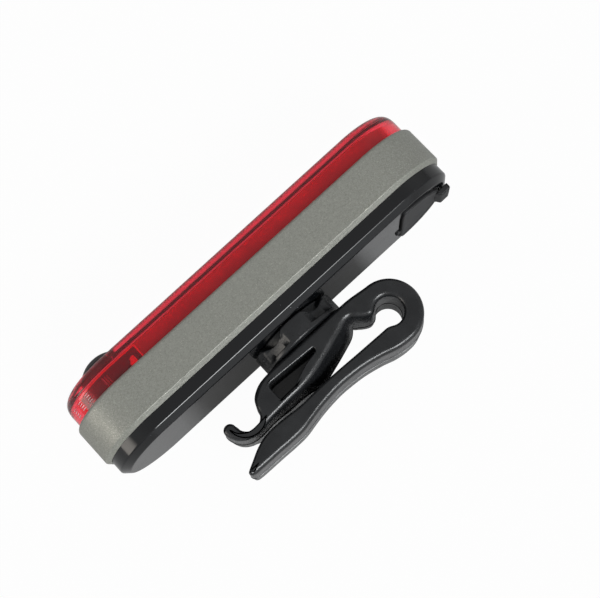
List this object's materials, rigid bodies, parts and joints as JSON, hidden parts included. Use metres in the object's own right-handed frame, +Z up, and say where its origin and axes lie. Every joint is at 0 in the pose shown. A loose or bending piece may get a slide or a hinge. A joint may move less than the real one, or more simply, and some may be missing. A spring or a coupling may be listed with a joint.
{
  "type": "bike rear light",
  "caption": "Slim rechargeable rear light with a red lens, grey band, charging flap and swivelling spring clip.",
  "frame": {"origin": "centre of the band's lower flat side, on which the light lies", "axes": "+X along the light towards the button end, -Y out of the lens, +Y towards the clip, +Z up from the side it lies on"},
  "size_m": [0.088, 0.0403, 0.026],
  "materials": {
    "red_lens": "clear red moulded plastic, polished",
    "grey_band": "silver-grey metallic paint, fine flake, satin",
    "black_gloss": "black moulded plastic, polished",
    "black_satin": "black moulded plastic, satin",
    "black_rubber": "black soft moulding, matt",
    "dark_plastic": "dark inner moulding",
    "white_plastic": "white reflector moulding",
    "lamp_phosphor": "yellow lamp coating",
    "board_white": "aluminium-core lamp board, white-faced",
    "board_green": "green circuit board",
    "chip_black": "black chip packages",
    "steel": "plated steel",
    "cell_foil": "silver pouch foil",
    "foam": "thin foam",
    "wire_sheath": "thin insulated wire",
    "nylon": "natural nylon"
  },
  "bodies": {
    "light_body": {"lens": "red_lens", "band": "grey_band", "rear_housing": "black_gloss", "joint_seal": "black_rubber", "chassis": "dark_plastic", "chassis_screws": "steel", "reflector": "white_plastic", "led_board": "board_white", "cob_strip": "lamp_phosphor", "tact_switch": "chip_black", "main_board": "board_green", "control_chips": "chip_black", "usb_socket": "steel", "battery_cell": "cell_foil", "battery_pad": "foam", "battery_leads": "wire_sheath", "led_leads": "wire_sheath", "flap_tether": "black_rubber", "swivel_washer": "nylon"},
    "clip": {"swivel_puck": "black_satin", "swivel_bolt": "steel", "clip_inner_arm": "black_satin"},
    "clip_jaw": {"clip_outer_arm": "black_satin"},
    "button": {"button_cap": "black_rubber"},
    "flap": {"usb_flap": "black_rubber"}
  },
  "joints": [
    {"name": "clip_swivel", "type": "hinge", "parent": "light_body", "child": "clip", "pos_m": [0, 0.0083, 0.013], "axis": [0, 1, 0], "continuous": true},
    {"name": "clip_flex", "type": "hinge", "parent": "clip", "child": "clip_jaw", "pos_m": [-0.0218, 0.01999, 0.013], "axis": [0, 0, 1], "range_deg": [0, 10], "stiffness_Nm_per_rad": 0.8},
    {"name": "button_press", "type": "slide", "parent": "light_body", "child": "button", "axis": [0, 1, 0], "range_m": [0, 0.00055], "stiffness_N_per_m": 1500},
    {"name": "flap_hinge", "type": "hinge", "parent": "light_body", "child": "flap", "pos_m": [-0.0302, 0.00827, 0.013], "axis": [0, 0, -1], "range_deg": [0, 100]}
  ]
}
